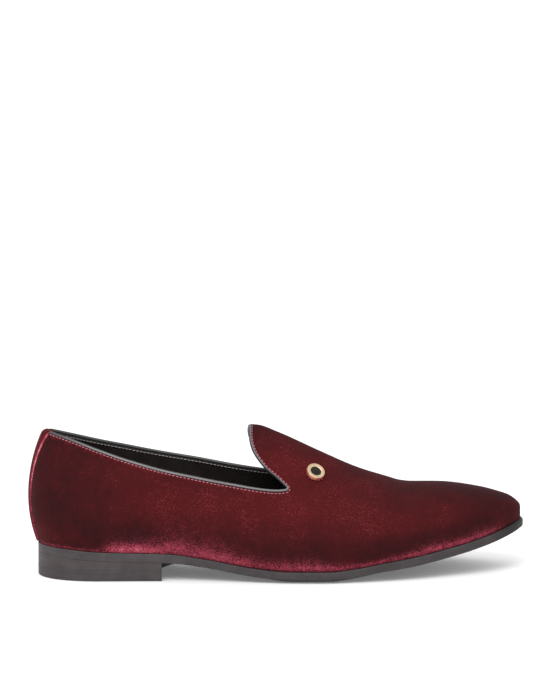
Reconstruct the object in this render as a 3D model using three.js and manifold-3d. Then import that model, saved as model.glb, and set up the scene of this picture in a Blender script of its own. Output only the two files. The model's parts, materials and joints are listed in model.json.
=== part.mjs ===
// A velvet slip-on loafer for the right foot, standing empty on its sole.
// Millimetres. +X points to the toe, +Y to the inner side of the foot, +Z up, and the floor is at zero.
// The upper, its overlays, the insole and the sole all follow one last: a table of sections
// and the functions on it.
import * as THREE from "three";
import { mergeVertices } from "three/addons/utils/BufferGeometryUtils.js";
import Module from "manifold-3d";

const wasm = await Module();
wasm.setup();

// Driving sizes
const LENGTH = 299.6; // last, from the back of the heel to the tip of the toe
const GAP = 0.3; // left between pieces that meet
const WALL = 2.2; // velvet, stiffener and lining together

// The last: a row for each section
// x: place along the last; swing: middle of the section, to the inner side
// outer, inner: half widths at the feather edge, where the upper meets the sole
// outTuck, inTuck: how far each side of the wall stands out past the feather edge
// belly: height of the widest line over that edge; ridge: height of the top line over the floor
// crown, flank: fullness at the top and at the side, 0.55 for an ellipse
const LAST = table(
  ["x", "swing", "outer", "inner", "outTuck", "inTuck", "belly", "ridge", "crown", "flank"],
  [
    [0, 0, 30, 30, 3, 3, 14, 102, 0.3, 0.4],
    [20, 0, 30, 30, 3, 3, 14, 102, 0.3, 0.4],
    [40, 0, 30.5, 30, 3, 3.5, 15, 102, 0.36, 0.45],
    [60, 0, 31, 29.5, 3.5, 4.5, 18, 104, 0.42, 0.5],
    [80, 0, 32, 27.5, 4.5, 6.5, 20, 104, 0.45, 0.5],
    [102, 0, 35, 25.5, 5, 9, 20, 100, 0.41, 0.45],
    [125, 0, 38.5, 25.5, 5, 10, 19, 90.6, 0.36, 0.38],
    [138, 0, 40.7, 27.9, 4.6, 8.3, 18.5, 89.8, 0.31, 0.33],
    [150, 0, 42.5, 32, 4, 6, 18, 85.5, 0.28, 0.3],
    [175, 0, 44.5, 42, 3, 3.5, 17, 73.9, 0.28, 0.3],
    [200, 1, 43.5, 47.5, 2.5, 2.5, 16, 62.7, 0.34, 0.36],
    [218, 2.4, 41.5, 46, 2.1, 2.1, 14.6, 56.7, 0.41, 0.43],
    [225, 3, 40.5, 45, 2, 2, 14, 54.4, 0.44, 0.46],
    [232, 3.6, 39, 43.3, 1.9, 1.9, 13.4, 53.4, 0.47, 0.49],
    [250, 5, 34, 37.5, 1.8, 1.8, 12, 52.9, 0.52, 0.55],
    [275, 6.5, 27.2, 29.5, 1.4, 1.4, 9, 49.4, 0.55, 0.6],
    [299, 7, 23, 25, 1, 1, 5, 42.5, 0.55, 0.6],
  ],
);
const HEEL_ROUND = 38; // length over which the outline closes at the heel
const TOE_ROUND = 40; // and at the toe
const NOSE_ROUND = 9; // length over which the top line drops at the toe
const NOSE_BLUNT = 0.2; // share of the toe's height that its tip keeps
const HEEL_CURVE = 82; // radius of the heel's back seen from the side
const HEEL_BULGE = 50; // height where the heel stands out furthest
const HEEL_FADE = 70; // the heel's curve dies out over this length
const HEEL_SEAT = 19.5; // height of the feather edge at the heel
const BELLY_SHARE = 0.25; // share of the skin's parameter that lies under the widest line
const UNDER_TURN = 0.35; // how early the skin turns upright under the widest line

// The sole: z is the height of its underside, thick its thickness, edge how far it stands out
// past the feather edge, and lift how far the rim of the underside is chamfered up
const SOLE = table(
  ["x", "z", "thick", "edge", "lift"],
  [
    [0, 14.3, 5.4, 0.8, 0],
    [20, 13.4, 5.4, 0.8, 0],
    [45, 11.7, 5.4, 0.8, 0],
    [85, 10.6, 5.4, 0.8, 0],
    [105, 8.45, 4.85, 0.9, 0],
    [125, 4.85, 4.9, 1.2, 0.1],
    [143, 1.3, 6.1, 1.6, 1.4],
    [155, 0, 6.6, 2, 2.2],
    [180, 0, 6.6, 2.2, 2.2],
    [190, 1, 6.5, 2.2, 2.2],
    [210, 4.5, 6, 2.2, 1.4],
    [230, 7.8, 5.6, 2.2, 0.5],
    [250, 11.6, 5.4, 2.2, 0.2],
    [275, 17.2, 5.4, 2, 0.3],
    [299, 24.6, 6.2, 1.7, 0.2],
  ],
);
const SOLE_CHAMFER = 7; // width of the chamfer under the sole's rim
const INSOLE_THICK = 3;
const INSOLE_INSET = WALL + 0.6; // from the feather edge

// The heel: a leather lift over a top piece, with a hollow breast
const TOP_PIECE_THICK = 6.4;
const BREAST_X = 75.2; // deepest line of the breast
const BREAST_Y = -11.5; // which lies to the outer side, so that the inner corner reaches further forward
const BREAST_RADIUS = 60;
const HEEL_BLOCK_END = 100; // the block before its breast is cut

// The topline seen from the side, from behind the heel down to the throat and up the edge of the tongue
const TOPLINE = table2d([
  [-8, 90.5],
  [9, 86.5],
  [25, 81.8],
  [41, 76.8],
  [60, 71.6],
  [80, 66.9],
  [100, 63.2],
  [119.5, 59.5],
  [142.5, 55.8],
  [150.5, 55.3],
  [154.6, 55.9],
  [155.8, 57.6],
  [151.3, 62.4],
  [141.8, 70.3],
  [135.7, 78.6],
  [134.2, 85],
  [134.8, 93],
  [134.8, 110],
]);
// How much higher the inner side of the topline lies than the outer one, for each millimetre across
const TOPLINE_TILT = table(
  ["x", "rise"],
  [
    [20, -0.03],
    [60, 0.037],
    [100, 0.058],
    [130, 0.067],
  ],
);
const TOPLINE_SAMPLES = 700;
const CUT_TOP = 200; // the opening's cutter reaches past everything
const CUT_WIDTH = 200;
const CUT_STEPS = 110;

const PIPING_RADIUS = 1.1;
const PIPING_STEPS = 96;
const PIPING_SIDES = 4;

// The strip over the heel's back seam, folded over the topline
const STRIP_THICK = 1;
const STRIP_GAP = 0.45; // clears the flats of the upper's mesh on both sides of the wall
const STRIP_HALF_TOP = 8.5;
const STRIP_HALF_FOOT = 6.5;
const STRIP_FOOT = 0.03; // share of the skin's parameter where it starts
const STRIP_INSIDE = 0.16; // and how far its fold goes down inside

// The stud on the outer side of the vamp
const STUD_X = 171.5;
const STUD_Z = 62.8;
const STUD_RADIUS = 5.6;
const STUD_HEIGHT = 2.3;
const STUD_SEAT = 0.55; // clears the curve of the vamp under the stud's flat back
const STONE_RADIUS = 3.3;
const STUD_FLOOR = 0.8;
const STUD_SEGMENTS = 32;

// Mesh density
const STATIONS = 48;
const SKIN_STEPS = 28;

// Materials
const velvet = material(0x5a1a20, 0.9, 0);
const blackLeather = material(0x1c1a1a, 0.5, 0);
const soleLeather = material(0x3a3535, 0.55, 0);
const rubber = material(0x353131, 0.7, 0);
const gold = material(0xd9b878, 0.3, 1);
const onyx = material(0x15161a, 0.15, 0);

function material(color, roughness, metalness) {
  return new THREE.MeshStandardMaterial({ color, roughness, metalness });
}

// A table's columns as smooth functions of its first one
function table(columns, rows) {
  const places = rows.map((row) => row[0]);
  const curves = columns
    .slice(1)
    .map((name, k) => [name, smoothCurve(places, rows.map((row) => row[k + 1]))]);
  return Object.fromEntries(curves);
}

// A smooth curve in the plane of the side view
function table2d(rows) {
  const points = rows.map(([x, z]) => new THREE.Vector3(x, 0, z));
  return new THREE.CatmullRomCurve3(points, false, "centripetal");
}

// Cubic through the points of two lists that never overshoots them
function smoothCurve(xs, ys) {
  const secants = ys.slice(1).map((y, i) => (y - ys[i]) / (xs[i + 1] - xs[i]));
  const slopes = ys.map((_, i) => {
    const before = secants[Math.max(i - 1, 0)];
    const after = secants[Math.min(i, secants.length - 1)];
    return before * after > 0 ? (2 * before * after) / (before + after) : 0;
  });
  return (x) => {
    const found = xs.findLastIndex((place) => place <= x);
    const i = THREE.MathUtils.clamp(found, 0, xs.length - 2);
    const width = xs[i + 1] - xs[i];
    const t = THREE.MathUtils.clamp((x - xs[i]) / width, 0, 1);
    const rise = t * t * (3 - 2 * t);
    const bend = slopes[i] * t * (1 - t) ** 2 - slopes[i + 1] * t * t * (1 - t);
    return ys[i] + (ys[i + 1] - ys[i]) * rise + bend * width;
  };
}

// Numbers from 0 to 1 in equal steps
function steps(count) {
  return Array.from({ length: count + 1 }, (_, i) => i / count);
}

// Where a rising function reaches zero
function bisect(low, high, rising) {
  for (let k = 0; k < 50; k++) {
    const middle = (low + high) / 2;
    if (rising(middle) < 0) low = middle;
    else high = middle;
  }
  return (low + high) / 2;
}

function quadratic(t, a, b, c) {
  return a * (1 - t) ** 2 + 2 * b * t * (1 - t) + c * t * t;
}

function cubic(t, a, b, c, d) {
  return a * (1 - t) ** 3 + 3 * b * t * (1 - t) ** 2 + 3 * c * t * t * (1 - t) + d * t ** 3;
}

// Stations lie close together at both ends, where the outline turns
function station(u) {
  return (LENGTH * (1 - Math.cos(Math.PI * u))) / 2;
}

// Height of an arc that starts upright at 0 and is level from 1 on
function arc(t) {
  return Math.sqrt(1 - (1 - Math.min(t, 1)) ** 2);
}

function endRound(x) {
  return arc(x / HEEL_ROUND) * arc((LENGTH - x) / TOE_ROUND);
}

// Top of the sole, and the feather edge just over it
function soleTop(x) {
  return SOLE.z(x) + SOLE.thick(x);
}

function featherZ(x) {
  return soleTop(x) + GAP;
}

// The heel's back leans in above and below its bulge
function heelLean(x, z) {
  const fade = Math.max(1 - x / HEEL_FADE, 0) ** 2;
  return (fade * (z - HEEL_BULGE) ** 2) / (2 * HEEL_CURVE);
}

// A point of the last's skin: u runs from heel to toe, and v from the outer feather edge
// over the ridge at 0.5 to the inner feather edge
function skin(u, v) {
  const x = station(u);
  const side = v < 0.5 ? -1 : 1;
  const share = 1 - Math.abs(2 * v - 1);
  const round = endRound(x);
  const foot = round * (side < 0 ? LAST.outer(x) : LAST.inner(x));
  const wide = foot + round * (side < 0 ? LAST.outTuck(x) : LAST.inTuck(x));
  const feather = featherZ(x + heelLean(x, HEEL_SEAT));
  const belly = feather + LAST.belly(x);
  const nose = THREE.MathUtils.lerp(NOSE_BLUNT, 1, arc((LENGTH - x) / NOSE_ROUND));
  const ridge = belly + (LAST.ridge(x) - belly) * nose;
  let reach, z;
  if (share < BELLY_SHARE) {
    const t = share / BELLY_SHARE;
    const turn = feather + UNDER_TURN * (belly - feather);
    reach = quadratic(t, foot, wide, wide);
    z = quadratic(t, feather, turn, belly);
  } else {
    const t = (share - BELLY_SHARE) / (1 - BELLY_SHARE);
    const shoulder = belly + LAST.flank(x) * (ridge - belly);
    reach = cubic(t, wide, wide, LAST.crown(x) * wide, 0);
    z = cubic(t, belly, shoulder, ridge, ridge);
  }
  return new THREE.Vector3(x + heelLean(x, z), LAST.swing(x) + side * reach, z);
}

// The skin's outward normal
function skinNormal(u, v) {
  const small = 1e-3;
  const uMiddle = THREE.MathUtils.clamp(u, small, 1 - small);
  const vMiddle = THREE.MathUtils.clamp(v, small, 1 - small);
  const along = skin(uMiddle + small, vMiddle).sub(skin(uMiddle - small, vMiddle));
  const round = skin(uMiddle, vMiddle + small).sub(skin(uMiddle, vMiddle - small));
  return along.cross(round).normalize();
}

// A point at a distance from the skin, along its outward normal
function offsetSkin(u, v, out) {
  const normal = skinNormal(u, v);
  const atEnd = u === 0 || u === 1; // there both sides meet in one line
  if (atEnd) normal.add(skinNormal(u, 1 - v)).setY(0).normalize();
  return skin(u, v).addScaledVector(normal, out);
}

// Parameters of the skin's point over its widest line that shows at x and z from one side
function skinAt(x, z, side) {
  const u = bisect(0, 1, (t) => station(t) + heelLean(station(t), z) - x);
  const share = bisect(BELLY_SHARE, 1, (s) => skin(u, s / 2).z - z);
  return [u, side < 0 ? share / 2 : 1 - share / 2];
}

// A point of the feather edge, moved outwards in plan
function featherEdge(u, side, out) {
  const small = 1e-3;
  const v = side < 0 ? 0 : 1;
  const uMiddle = THREE.MathUtils.clamp(u, small, 1 - small);
  const along = skin(uMiddle + small, v).sub(skin(uMiddle - small, v));
  const normal = new THREE.Vector3(-along.y * side, along.x * side, 0);
  if (u === 0 || u === 1) normal.y = 0;
  return skin(u, v).addScaledVector(normal.normalize(), out);
}

// A closed surface through rings of points, each ring a front row and then its back row reversed
function loft(rings, capped) {
  const count = rings[0].length;
  const index = [];
  const quad = (a, b, c, d) => index.push(a, b, c, a, c, d);
  for (let i = 0; i + 1 < rings.length; i++)
    for (let j = 0; j < count; j++) {
      const next = (j + 1) % count;
      quad(i * count + j, (i + 1) * count + j, (i + 1) * count + next, i * count + next);
    }
  if (capped)
    for (let j = 0; j + 1 < count / 2; j++) {
      const last = (rings.length - 1) * count;
      const [a, b, c, d] = [j, j + 1, count - 2 - j, count - 1 - j];
      quad(a, b, c, d);
      quad(last + d, last + c, last + b, last + a);
    }
  const geometry = new THREE.BufferGeometry().setFromPoints(rings.flat());
  return geometry.setIndex(index);
}

// A closed geometry as a solid that can be joined and cut
function solid(geometry) {
  const bare = geometry.clone();
  bare.deleteAttribute("normal");
  bare.deleteAttribute("uv");
  const merged = mergeVertices(bare, 1e-4);
  const triVerts = [];
  for (let i = 0; i < merged.index.count; i += 3) {
    const [a, b, c] = merged.index.array.slice(i, i + 3);
    if (a !== b && b !== c && c !== a) triVerts.push(a, b, c);
  }
  const mesh = new wasm.Mesh({
    numProp: 3,
    vertProperties: merged.attributes.position.array,
    triVerts: new Uint32Array(triVerts),
  });
  return new wasm.Manifold(mesh);
}

function piece(name, shape, finish) {
  const made = shape.getMesh();
  const geometry = new THREE.BufferGeometry();
  geometry.setAttribute("position", new THREE.BufferAttribute(made.vertProperties, 3));
  geometry.setIndex(new THREE.BufferAttribute(made.triVerts, 1));
  geometry.computeVertexNormals();
  const mesh = new THREE.Mesh(geometry, finish);
  mesh.name = name;
  return mesh;
}

// A point at a depth in the wall that shows, from one side, at a distance from the topline into the opening
function toplinePoint(t, inset, depth, side) {
  const [at, along] = [TOPLINE.getPointAt(t), TOPLINE.getTangentAt(t)];
  const x = at.x - along.z * inset;
  const z = at.z + along.x * inset;
  let [tryX, tryZ, place, point] = [x, z];
  for (let k = 0; k < 12; k++) {
    place = skinAt(tryX, tryZ, side);
    point = offsetSkin(...place, -depth);
    tryX += x - point.x;
    tryZ += z + TOPLINE_TILT.rise(point.x) * point.y - point.z;
  }
  return { point, onRidge: Math.abs(place[1] - 0.5) < 1e-3 };
}

// Everything over the topline, right across the shoe
function openingCutter() {
  const outline = TOPLINE.getSpacedPoints(CUT_STEPS).map((p) => new THREE.Vector2(p.x, p.z));
  const [first, last] = [outline[0], outline.at(-1)];
  const over = [new THREE.Vector2(last.x, CUT_TOP), new THREE.Vector2(first.x, CUT_TOP)];
  const geometry = new THREE.ExtrudeGeometry(new THREE.Shape([...outline, ...over]), {
    depth: CUT_WIDTH,
    bevelEnabled: false,
  });
  geometry.rotateX(Math.PI / 2).translate(0, CUT_WIDTH / 2, 0);
  const corners = geometry.attributes.position;
  for (let i = 0; i < corners.count; i++) {
    const tilt = TOPLINE_TILT.rise(corners.getX(i)) * corners.getY(i);
    corners.setZ(i, corners.getZ(i) + tilt);
  }
  return solid(geometry);
}

// The upper: one wall over the last, open underneath and at the topline
function upper() {
  const rings = steps(STATIONS).map((u) => {
    const outside = steps(SKIN_STEPS).map((v) => offsetSkin(u, v, 0));
    const inside = steps(SKIN_STEPS).map((v) => offsetSkin(u, v, -WALL));
    return [...outside, ...inside.reverse()];
  });
  const shell = solid(loft(rings, false)).subtract(openingCutter());
  return piece("upper", shell, velvet);
}

// A plate along the feather edge between a top and an underside, from the heel to a station
function plate(end, out, top, under) {
  const rings = steps(STATIONS).map((t) => {
    const u = t * end;
    const x = station(u);
    const rim = [-1, 1].map((side) => featherEdge(u, side, out(x)));
    const row = (z) => rim.map((p) => p.clone().setZ(z(p.x)));
    return [...row(top), ...row(under).reverse()];
  });
  return solid(loft(rings, end < 1));
}

function insole() {
  const top = (x) => featherZ(x) + INSOLE_THICK;
  return piece("insole", plate(1, () => -INSOLE_INSET, top, featherZ), blackLeather);
}

// The outsole: square edge, arch and toe spring, with a chamfer under its rim
function outsole() {
  const rings = steps(STATIONS).map((u) => {
    const x = station(u);
    const edge = SOLE.edge(x);
    const inset = edge - SOLE_CHAMFER;
    const at = (side, out, z, lift) => {
      const p = featherEdge(u, side, out);
      return p.setZ(z(p.x) + lift);
    };
    return [
      at(-1, edge, soleTop, 0),
      at(-1, inset, soleTop, 0),
      at(1, inset, soleTop, 0),
      at(1, edge, soleTop, 0),
      at(1, edge, SOLE.z, SOLE.lift(x)),
      at(1, inset, SOLE.z, 0),
      at(-1, inset, SOLE.z, 0),
      at(-1, edge, SOLE.z, SOLE.lift(x)),
    ];
  });
  return piece("outsole", solid(loft(rings, false)), soleLeather);
}

// The heel under the sole, its breast hollowed by a large cylinder
function heelBlock(name, top, under, finish) {
  const end = bisect(0, 1, (u) => station(u) - HEEL_BLOCK_END);
  const block = plate(end, SOLE.edge, top, under);
  const round = new THREE.CylinderGeometry(BREAST_RADIUS, BREAST_RADIUS, LENGTH, 96);
  round.rotateX(Math.PI / 2).translate(BREAST_X + BREAST_RADIUS, BREAST_Y, 0);
  return piece(name, block.subtract(solid(round)), finish);
}

function heelLift() {
  const under = () => TOP_PIECE_THICK + GAP;
  return heelBlock("heel_lift", (x) => SOLE.z(x) - GAP, under, soleLeather);
}

function heelTopPiece() {
  return heelBlock("heel_top_piece", () => TOP_PIECE_THICK, () => 0, rubber);
}

// Half width of the heel strip at a share of the wall's height
function stripHalf(share) {
  return THREE.MathUtils.lerp(STRIP_HALF_FOOT, STRIP_HALF_TOP, share);
}

// Parameter of the heel strip's edge at a height of the skin
function stripEdge(share) {
  return bisect(0, 0.3, (u) => Math.abs(skin(u, share / 2).y) - stripHalf(share));
}

// The strip over the back seam: up the outside, over the topline and a little way down inside
function heelStrip() {
  const across = steps(8).map((t) => 2 * t - 1);
  const topZ = (x) => TOPLINE.getPointAt(bisect(0, 0.5, (t) => TOPLINE.getPointAt(t).x - x)).z;
  const place = (c, share) => [Math.abs(c) * stripEdge(share), c < 0 ? share / 2 : 1 - share / 2];
  const topShare = across.map((c) =>
    bisect(BELLY_SHARE, 1, (s) => {
      const p = skin(...place(c, s));
      return p.z - topZ(p.x) - TOPLINE_TILT.rise(p.x) * p.y;
    }),
  );
  const wallRow = (shareOf, out) =>
    across.map((c, k) => offsetSkin(...place(c, shareOf(topShare[k])), out));
  const foldRow = (turn, thick) =>
    across.map((c, k) => {
      const at = place(c, topShare[k]);
      const above = place(c, topShare[k] + 0.01);
      const up = skin(...above).sub(skin(...at)).normalize();
      const radius = WALL / 2 + STRIP_GAP + thick;
      const point = offsetSkin(...at, -WALL / 2 + radius * Math.cos(turn));
      return point.addScaledVector(up, radius * Math.sin(turn));
    });
  const ring = (row) => [...row(STRIP_THICK), ...row(0).reverse()];
  const outside = steps(10).map((t) =>
    ring((thick) => wallRow((top) => THREE.MathUtils.lerp(STRIP_FOOT, top, t), STRIP_GAP + thick)),
  );
  const fold = [0.25, 0.5, 0.75].map((t) => ring((thick) => foldRow(Math.PI * t, thick)));
  const inside = steps(3).map((t) =>
    ring((thick) => wallRow((top) => top - STRIP_INSIDE * t, -WALL - STRIP_GAP - thick)),
  );
  return piece("heel_strip", solid(loft([...outside, ...fold, ...inside], true)), velvet);
}

// The piping on the topline, from one edge of the heel strip round the tongue to the other
function collarPiping() {
  const inset = GAP + PIPING_RADIUS;
  const clear = STRIP_HALF_TOP + 2 * GAP;
  const half = (side) =>
    steps(TOPLINE_SAMPLES)
      .map((t) => toplinePoint(t, inset, WALL / 2, side))
      .filter(({ point, onRidge }) => !onRidge && (point.x > LENGTH / 4 || Math.abs(point.y) > clear))
      .map(({ point }) => point);
  const line = new THREE.CatmullRomCurve3([...half(-1), ...half(1).reverse()]);
  const path = new THREE.CatmullRomCurve3(line.getSpacedPoints(PIPING_STEPS));
  const section = new THREE.Shape().absarc(0, 0, PIPING_RADIUS, 0, 2 * Math.PI);
  const geometry = new THREE.ExtrudeGeometry(section, {
    steps: PIPING_STEPS,
    curveSegments: PIPING_SIDES,
    extrudePath: path,
  });
  return piece("collar_piping", solid(geometry), blackLeather);
}

// A round piece turned from a profile of radii and heights
function turned(name, profile, finish) {
  const points = profile.map(([radius, height]) => new THREE.Vector2(radius, height));
  const geometry = new THREE.LatheGeometry(points, STUD_SEGMENTS).rotateX(Math.PI / 2);
  return piece(name, solid(geometry), finish);
}

// The stud: a metal ring with a floor, and a black stone set in it
function stud() {
  const bevel = 0.4;
  const ring = turned("stud_ring", [
    [0, 0],
    [STUD_RADIUS - bevel, 0],
    [STUD_RADIUS, bevel],
    [STUD_RADIUS, STUD_HEIGHT - bevel],
    [STUD_RADIUS - bevel, STUD_HEIGHT],
    [STONE_RADIUS, STUD_HEIGHT],
    [STONE_RADIUS, STUD_FLOOR],
    [0, STUD_FLOOR],
  ], gold);
  const stone = turned("stud_stone", [
    [0, STUD_FLOOR + GAP],
    [STONE_RADIUS - GAP, STUD_FLOOR + GAP],
    [STONE_RADIUS - GAP, STUD_HEIGHT - bevel],
    [STONE_RADIUS / 2, STUD_HEIGHT - bevel / 4],
    [0, STUD_HEIGHT],
  ], onyx);
  const place = skinAt(STUD_X, STUD_Z, -1);
  const foot = offsetSkin(...place, STUD_SEAT);
  const normal = foot.clone().sub(skin(...place)).normalize();
  const group = new THREE.Group().add(ring, stone);
  group.position.copy(foot);
  group.quaternion.setFromUnitVectors(new THREE.Vector3(0, 0, 1), normal);
  return group;
}

const loafer = new THREE.Group();
loafer.name = "loafer";
loafer.add(upper(), heelStrip(), collarPiping(), insole());
loafer.add(outsole(), heelLift(), heelTopPiece(), stud());

// The part's origin is on the floor, under the middle of the shoe
const box = new THREE.Box3().setFromObject(loafer, true);
const middle = box.getCenter(new THREE.Vector3());
loafer.position.set(-middle.x, -middle.y, 0);

export default loafer;
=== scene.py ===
import json
import math
from types import SimpleNamespace

import bmesh
import bpy
import numpy as np
from mathutils import Matrix, Vector

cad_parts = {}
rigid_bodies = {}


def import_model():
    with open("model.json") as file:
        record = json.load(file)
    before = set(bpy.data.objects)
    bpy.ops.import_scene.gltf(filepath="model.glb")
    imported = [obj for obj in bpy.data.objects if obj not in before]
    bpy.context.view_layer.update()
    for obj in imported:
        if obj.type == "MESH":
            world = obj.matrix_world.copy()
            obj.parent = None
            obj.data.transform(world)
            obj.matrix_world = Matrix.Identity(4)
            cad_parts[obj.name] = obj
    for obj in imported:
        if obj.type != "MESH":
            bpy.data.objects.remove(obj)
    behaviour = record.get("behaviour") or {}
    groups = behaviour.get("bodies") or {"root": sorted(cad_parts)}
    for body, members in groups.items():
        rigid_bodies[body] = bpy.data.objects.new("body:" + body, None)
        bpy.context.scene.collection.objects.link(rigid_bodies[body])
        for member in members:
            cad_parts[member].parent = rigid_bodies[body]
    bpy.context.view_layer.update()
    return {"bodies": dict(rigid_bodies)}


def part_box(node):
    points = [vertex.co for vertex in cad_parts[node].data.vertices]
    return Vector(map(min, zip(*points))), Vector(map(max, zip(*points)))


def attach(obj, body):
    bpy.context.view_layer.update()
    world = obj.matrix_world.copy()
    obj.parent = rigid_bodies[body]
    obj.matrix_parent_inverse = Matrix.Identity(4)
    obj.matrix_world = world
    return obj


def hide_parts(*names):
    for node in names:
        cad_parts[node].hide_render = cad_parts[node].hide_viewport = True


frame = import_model()
BODY = next(iter(frame["bodies"]))

# Shapes are worked out in millimetres on the last, from the back of its heel, and moved to the part's frame
MM = 0.001


# Cubic through the points of two lists that never overshoots them
def smooth_curve(xs, ys):
    xs, ys = np.array(xs, float), np.array(ys, float)
    secants = np.diff(ys) / np.diff(xs)
    before = np.append(secants[0], secants)
    after = np.append(secants, secants[-1])
    same_way = before * after > 0
    total = np.where(same_way, before + after, 1)
    slopes = np.where(same_way, 2 * before * after / total, 0)

    def curve(x):
        i = np.clip(np.searchsorted(xs, x, side="right") - 1, 0, len(xs) - 2)
        width = xs[i + 1] - xs[i]
        t = np.clip((x - xs[i]) / width, 0, 1)
        rise = t * t * (3 - 2 * t)
        bend = slopes[i] * t * (1 - t) ** 2 - slopes[i + 1] * t * t * (1 - t)
        return ys[i] + (ys[i + 1] - ys[i]) * rise + bend * width

    return curve


# A table's columns as smooth functions of its first one
def table(columns, rows):
    places, *values = zip(*rows)
    curves = {name: smooth_curve(places, column) for name, column in zip(columns[1:], values)}
    return SimpleNamespace(**curves)


# The last: a row for each section
# x: place along it; swing: middle of the section, to the inner side
# outer, inner: half widths at the feather edge, where the upper meets the sole
# out_tuck, in_tuck: how far each side of the wall stands out past that edge
# belly: height of the widest line over the edge; ridge: height of the top line over the floor
# crown, flank: fullness at the top and at the side, 0.55 for an ellipse
LENGTH = 299.6
HEEL_QUARTER = LENGTH / 4
LAST = table(
    ["x", "swing", "outer", "inner", "out_tuck", "in_tuck", "belly", "ridge", "crown", "flank"],
    [
        [0, 0, 30, 30, 3, 3, 14, 102, 0.3, 0.4],
        [20, 0, 30, 30, 3, 3, 14, 102, 0.3, 0.4],
        [40, 0, 30.5, 30, 3, 3.5, 15, 102, 0.36, 0.45],
        [60, 0, 31, 29.5, 3.5, 4.5, 18, 104, 0.42, 0.5],
        [80, 0, 32, 27.5, 4.5, 6.5, 20, 104, 0.45, 0.5],
        [102, 0, 35, 25.5, 5, 9, 20, 100, 0.41, 0.45],
        [125, 0, 38.5, 25.5, 5, 10, 19, 90.6, 0.36, 0.38],
        [138, 0, 40.7, 27.9, 4.6, 8.3, 18.5, 89.8, 0.31, 0.33],
        [150, 0, 42.5, 32, 4, 6, 18, 85.5, 0.28, 0.3],
        [175, 0, 44.5, 42, 3, 3.5, 17, 73.9, 0.28, 0.3],
        [200, 1, 43.5, 47.5, 2.5, 2.5, 16, 62.7, 0.34, 0.36],
        [218, 2.4, 41.5, 46, 2.1, 2.1, 14.6, 56.7, 0.41, 0.43],
        [225, 3, 40.5, 45, 2, 2, 14, 54.4, 0.44, 0.46],
        [232, 3.6, 39, 43.3, 1.9, 1.9, 13.4, 53.4, 0.47, 0.49],
        [250, 5, 34, 37.5, 1.8, 1.8, 12, 52.9, 0.52, 0.55],
        [275, 6.5, 27.2, 29.5, 1.4, 1.4, 9, 49.4, 0.55, 0.6],
        [299, 7, 23, 25, 1, 1, 5, 42.5, 0.55, 0.6],
    ],
)
# Where it rounds in: how far from each end in plan, and from its tip in height, with the share left there
HEEL_ROUND = 38
TOE_ROUND = 40
NOSE_ROUND = 9
NOSE_BLUNT = 0.2
# The back of the heel: the radius of its curve, the height of its bulge, how far along the last the curve
# fades out, and the height of the seat
HEEL_CURVE = 82
HEEL_BULGE = 50
HEEL_FADE = 70
HEEL_SEAT = 19.5
# How much of the way up a side lies under the widest line, and how low that stretch turns outwards
BELLY_SHARE = 0.25
UNDER_TURN = 0.35
# Thickness of the upper's wall, and the gap that stands for glue between the upper and the sole
WALL = 2.2
GAP = 0.3

# The sole: z is the height of its underside, thick its thickness, edge how far it stands out
# past the feather edge, and lift how far the rim of the underside is chamfered up
SOLE = table(
    ["x", "z", "thick", "edge", "lift"],
    [
        [0, 14.3, 5.4, 0.8, 0],
        [20, 13.4, 5.4, 0.8, 0],
        [45, 11.7, 5.4, 0.8, 0],
        [85, 10.6, 5.4, 0.8, 0],
        [105, 8.45, 4.85, 0.9, 0],
        [125, 4.85, 4.9, 1.2, 0.1],
        [143, 1.3, 6.1, 1.6, 1.4],
        [155, 0, 6.6, 2, 2.2],
        [180, 0, 6.6, 2.2, 2.2],
        [190, 1, 6.5, 2.2, 2.2],
        [210, 4.5, 6, 2.2, 1.4],
        [230, 7.8, 5.6, 2.2, 0.5],
        [250, 11.6, 5.4, 2.2, 0.2],
        [275, 17.2, 5.4, 2, 0.3],
        [299, 24.6, 6.2, 1.7, 0.2],
    ],
)
SOLE_CHAMFER = 7
INSOLE_THICK = 3
INSOLE_PLAY = 0.6
INSOLE_INSET = WALL + INSOLE_PLAY
TOP_PIECE_THICK = 6.4
# The heel's breast: the deepest point of its hollow, and its radius
BREAST_X = 75.2
BREAST_Y = -11.5
BREAST_RADIUS = 60

# The topline seen from the side, from behind the heel down to the throat and up the edge of the tongue
TOPLINE_POINTS = [
    [-8, 90.5],
    [9, 86.5],
    [25, 81.8],
    [41, 76.8],
    [60, 71.6],
    [80, 66.9],
    [100, 63.2],
    [119.5, 59.5],
    [142.5, 55.8],
    [150.5, 55.3],
    [154.6, 55.9],
    [155.8, 57.6],
    [151.3, 62.4],
    [141.8, 70.3],
    [135.7, 78.6],
    [134.2, 85],
    [134.8, 93],
    [134.8, 110],
]
# How much higher its inner side lies than the outer one, for each millimetre across
TOPLINE_TILT = table(["x", "rise"], [[20, -0.03], [60, 0.037], [100, 0.058], [130, 0.067]])
# The velvet is turned over the topline, which adds its rise
VELVET_RISE = 0.4
# How high and how wide the opening is cut
CUT_TOP = 200
CUT_WIDTH = 200

# How finely curves are drawn and places are searched for
TOPLINE_SAMPLES = 700
CURVE_STEPS = 40
SKIN_SAMPLES = (400, 200)
HALVINGS = 30
APPROACHES = 7
# A small step along or across the skin
SMALL = 1e-3
# Points closer than this are one, and a grid's places are rounded off
MERGE_DISTANCE = 1e-3
GRID_DECIMALS = 6


def lerp(a, b, t):
    return a + (b - a) * t


def smooth_step(t):
    t = np.clip(t, 0, 1)
    return t * t * (3 - 2 * t)


# Rises from 0 at the start to 1 a way further on
def ramp(place, start, way):
    return smooth_step((place - start) / way)


# 1 up to half its width from the middle, with soft edges
def streak(place, middle, half, soft):
    return 1 - ramp(abs(place - middle), half, soft)


# 1 in the middle, and less all round it
def patch(place, middle, reach):
    return np.exp(-(((place - middle) / reach) ** 2))


def quadratic(t, a, b, c):
    return a * (1 - t) ** 2 + 2 * b * t * (1 - t) + c * t * t


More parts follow.
